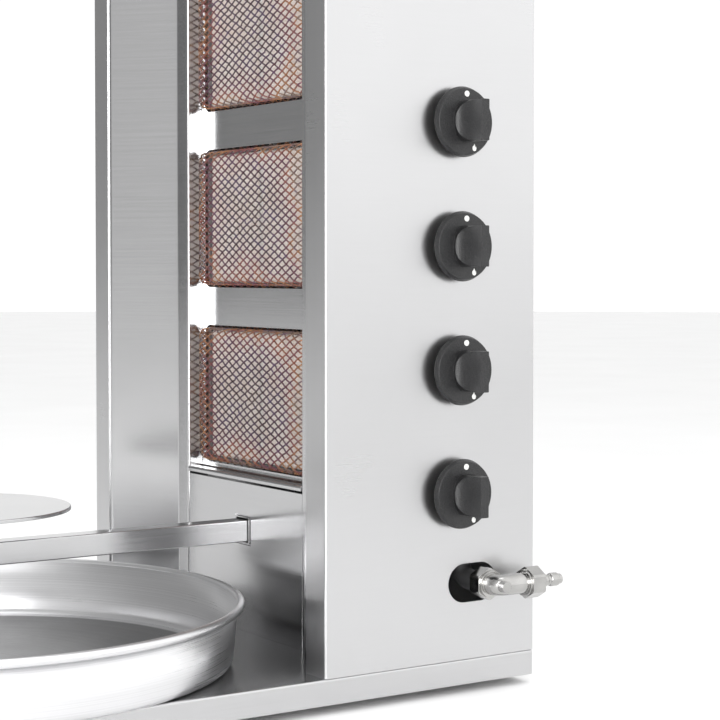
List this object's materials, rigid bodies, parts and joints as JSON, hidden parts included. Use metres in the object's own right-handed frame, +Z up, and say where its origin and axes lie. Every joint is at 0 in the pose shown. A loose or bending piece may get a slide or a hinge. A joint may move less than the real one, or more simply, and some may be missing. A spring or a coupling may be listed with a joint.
{
  "type": "vertical rotisserie broiler",
  "caption": "Countertop gas vertical broiler: steel column with stacked infrared burners, side knobs, sliding spit frame with motor-driven skewer and a round drip pan.",
  "frame": {"origin": "middle of the whole machine's footprint, at worktop level under the rubber feet", "axes": "+Z up, the front of the machine (drip pan and skewer) faces -Y, the control side faces +X"},
  "size_m": [0.5056, 0.7294, 0.975],
  "materials": {
    "satin_steel": "satin, fine brushed grain",
    "bright_steel": "bright, nearly mirror polish with a fine grain",
    "tube_steel": "bright drawn stainless tube and bar",
    "screw_steel": "plain bright",
    "pipe_steel": "dull pressed steel",
    "burner_wire": "heat-tinted brown, purple and gold wire",
    "ceramic": "matte perforated plaque",
    "brass": "turned",
    "nickel": "bright nickel plate",
    "knob_plastic": "black, lightly textured, small pale marks",
    "black_plastic": "black moulded",
    "rocker_plastic": "red rocker",
    "motor_paint": "dark grey enamel",
    "rubber": "matte",
    "spun_aluminium": "concentric spinning marks"
  },
  "bodies": {
    "column": {"base_tray": "satin_steel", "right_side_panel": "satin_steel", "left_side_panel": "satin_steel", "rear_cover": "satin_steel", "top_cover": "satin_steel", "lower_front_panel": "satin_steel", "upper_front_panel": "satin_steel", "right_reflector": "bright_steel", "left_reflector": "bright_steel", "burner_wall": "bright_steel", "arm_guides": "tube_steel", "base_feet": "rubber", "cover_screws": "screw_steel", "gas_manifold": "pipe_steel", "gas_feed_lines": "brass", "union_nuts": "nickel", "gas_elbow": "nickel", "hose_tail": "nickel", "burner_1_mesh": "burner_wire", "burner_1_plaque": "ceramic", "burner_1_plenum": "pipe_steel", "burner_1_mixer_tube": "pipe_steel", "tap_1_body": "brass", "burner_2_mesh": "burner_wire", "burner_2_plaque": "ceramic", "burner_2_plenum": "pipe_steel", "burner_2_mixer_tube": "pipe_steel", "tap_2_body": "brass", "burner_3_mesh": "burner_wire", "burner_3_plaque": "ceramic", "burner_3_plenum": "pipe_steel", "burner_3_mixer_tube": "pipe_steel", "tap_3_body": "brass", "burner_4_mesh": "burner_wire", "burner_4_plaque": "ceramic", "burner_4_plenum": "pipe_steel", "burner_4_mixer_tube": "pipe_steel", "tap_4_body": "brass"},
    "spit_frame": {"lower_arm": "tube_steel", "upper_arm": "tube_steel", "arm_post": "tube_steel", "lower_bearing": "tube_steel", "gearmotor": "motor_paint", "motor_hood": "satin_steel", "cable_gland": "black_plastic", "switch_bezel": "black_plastic"},
    "spit": {"skewer_rod": "tube_steel", "meat_plate": "tube_steel", "drive_socket": "tube_steel"},
    "rocker": {"switch_rocker": "rocker_plastic"},
    "pan": {"drip_pan": "spun_aluminium"},
    "clamp": {"clamp_screw": "black_plastic"},
    "tap_1": {"tap_1_spindle": "brass"},
    "knob_1": {"knob_1": "knob_plastic"},
    "tap_2": {"tap_2_spindle": "brass"},
    "knob_2": {"knob_2": "knob_plastic"},
    "tap_3": {"tap_3_spindle": "brass"},
    "knob_3": {"knob_3": "knob_plastic"},
    "tap_4": {"tap_4_spindle": "brass"},
    "knob_4": {"knob_4": "knob_plastic"}
  },
  "joints": [
    {"name": "spit_frame_slide", "type": "slide", "parent": "column", "child": "spit_frame", "axis": [0, 1, 0], "range_m": [0, 0.075]},
    {"name": "spit_turn", "type": "hinge", "parent": "spit_frame", "child": "spit", "pos_m": [-0.00375, -0.10375, 0.126], "axis": [0, 0, 1], "continuous": true},
    {"name": "power_rocker", "type": "hinge", "parent": "spit_frame", "child": "rocker", "pos_m": [0.05675, -0.10375, 0.929], "axis": [0, 1, 0], "range_deg": [-16, 0]},
    {"name": "pan_pull", "type": "slide", "parent": "column", "child": "pan", "axis": [0, -1, 0], "range_m": [0, 0.5]},
    {"name": "clamp_turn", "type": "hinge", "parent": "column", "child": "clamp", "pos_m": [-0.00375, 0.21325, 0.9], "axis": [0, 0, 1], "range_deg": [0, 1080]},
    {"name": "tap_1_turn", "type": "hinge", "parent": "column", "child": "tap_1", "pos_m": [0.21225, 0.27075, 0.1765], "axis": [1, 0, 0], "range_deg": [0, 210]},
    {"name": "knob_1_push", "type": "slide", "parent": "tap_1", "child": "knob_1", "axis": [-1, 0, 0], "range_m": [0, 0.003], "stiffness_N_per_m": 1500},
    {"name": "tap_2_turn", "type": "hinge", "parent": "column", "child": "tap_2", "pos_m": [0.21225, 0.27075, 0.2835], "axis": [1, 0, 0], "range_deg": [0, 210]},
    {"name": "knob_2_push", "type": "slide", "parent": "tap_2", "child": "knob_2", "axis": [-1, 0, 0], "range_m": [0, 0.003], "stiffness_N_per_m": 1500},
    {"name": "tap_3_turn", "type": "hinge", "parent": "column", "child": "tap_3", "pos_m": [0.21225, 0.27075, 0.3905], "axis": [1, 0, 0], "range_deg": [0, 210]},
    {"name": "knob_3_push", "type": "slide", "parent": "tap_3", "child": "knob_3", "axis": [-1, 0, 0], "range_m": [0, 0.003], "stiffness_N_per_m": 1500},
    {"name": "tap_4_turn", "type": "hinge", "parent": "column", "child": "tap_4", "pos_m": [0.21225, 0.27075, 0.4975], "axis": [1, 0, 0], "range_deg": [0, 210]},
    {"name": "knob_4_push", "type": "slide", "parent": "tap_4", "child": "knob_4", "axis": [-1, 0, 0], "range_m": [0, 0.003], "stiffness_N_per_m": 1500}
  ]
}
